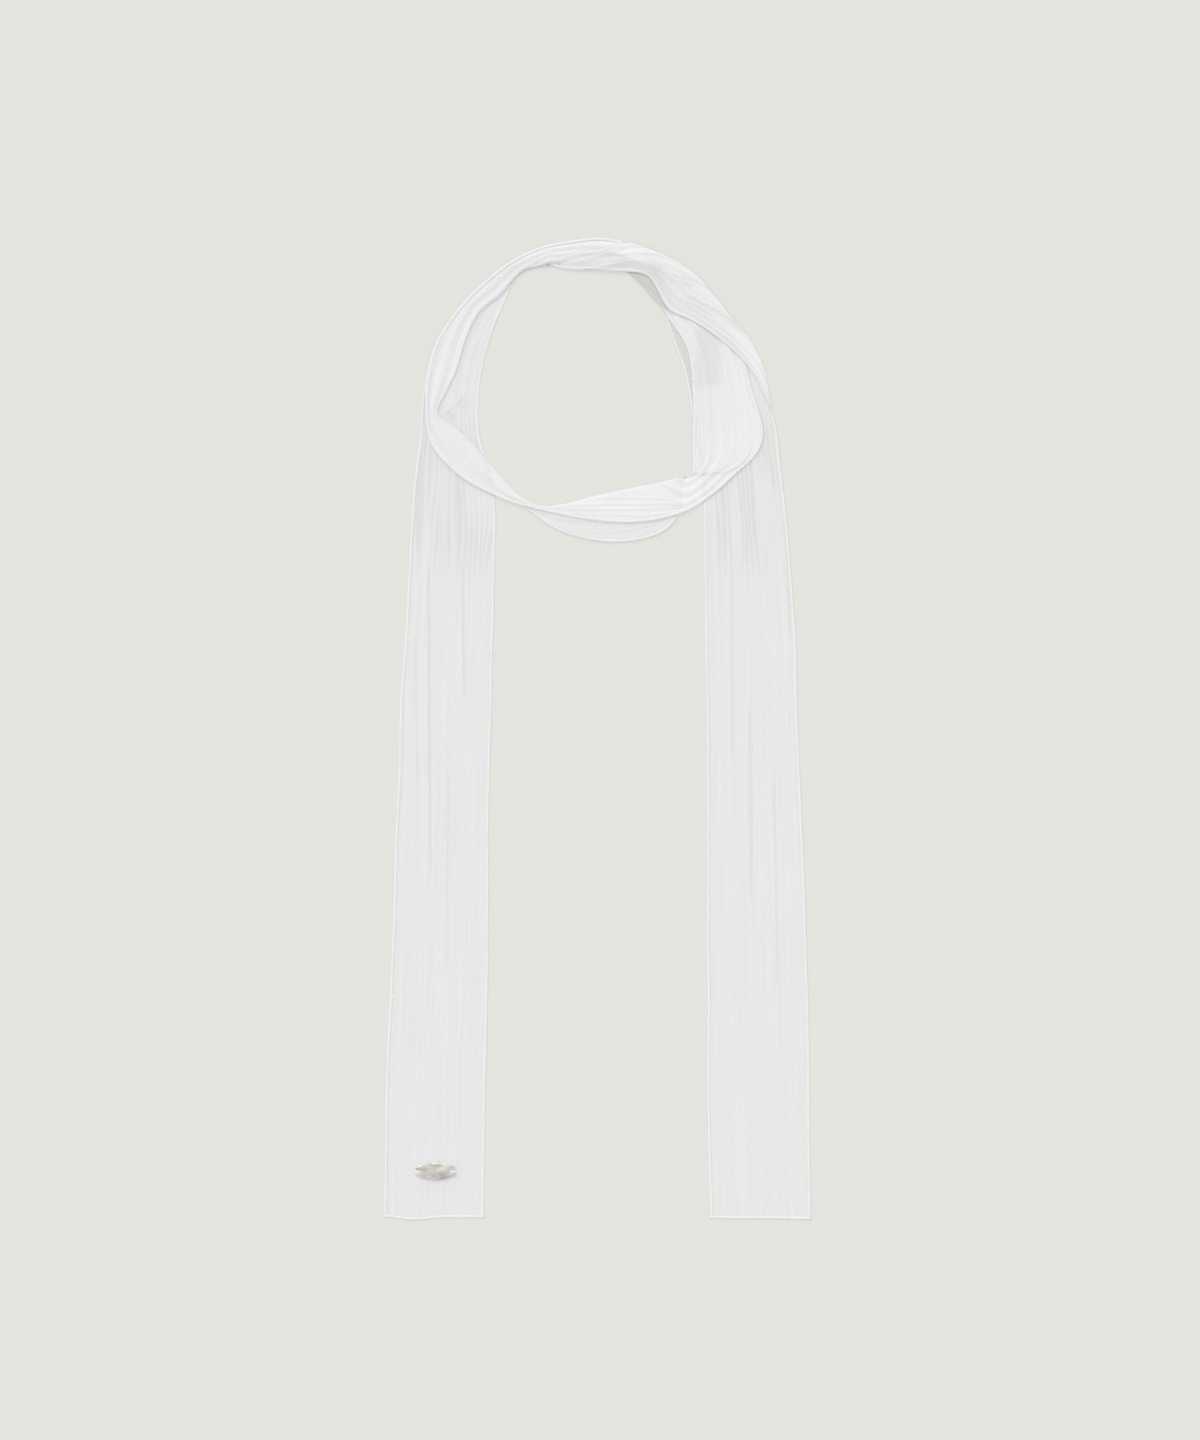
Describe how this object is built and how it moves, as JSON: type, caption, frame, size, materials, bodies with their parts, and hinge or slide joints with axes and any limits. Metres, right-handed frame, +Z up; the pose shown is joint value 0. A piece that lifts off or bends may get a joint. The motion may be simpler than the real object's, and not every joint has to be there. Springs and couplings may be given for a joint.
{
  "type": "sheer crinkled scarf",
  "caption": "Long narrow sheer crinkled scarf laid flat in an open neck loop with two straight ends and a small sewn-on metal plate.",
  "frame": {"origin": "middle of the bottom of the bounding box, on the surface that the scarf lies on", "axes": "+Y from the two ends up to the neck loop, +X to the viewer's right, +Z up from the surface"},
  "size_m": [0.256, 0.5889, 0.0068],
  "materials": {
    "crinkled_sheer_cloth": "sheer white crinkled weave",
    "brushed_plate": "brushed silver-coloured metal",
    "sewing_thread": "white sewing thread"
  },
  "bodies": {
    "root": {"scarf_cloth": "crinkled_sheer_cloth", "metal_plate": "brushed_plate", "left_thread_bar": "sewing_thread", "right_thread_bar": "sewing_thread"}
  },
  "joints": []
}
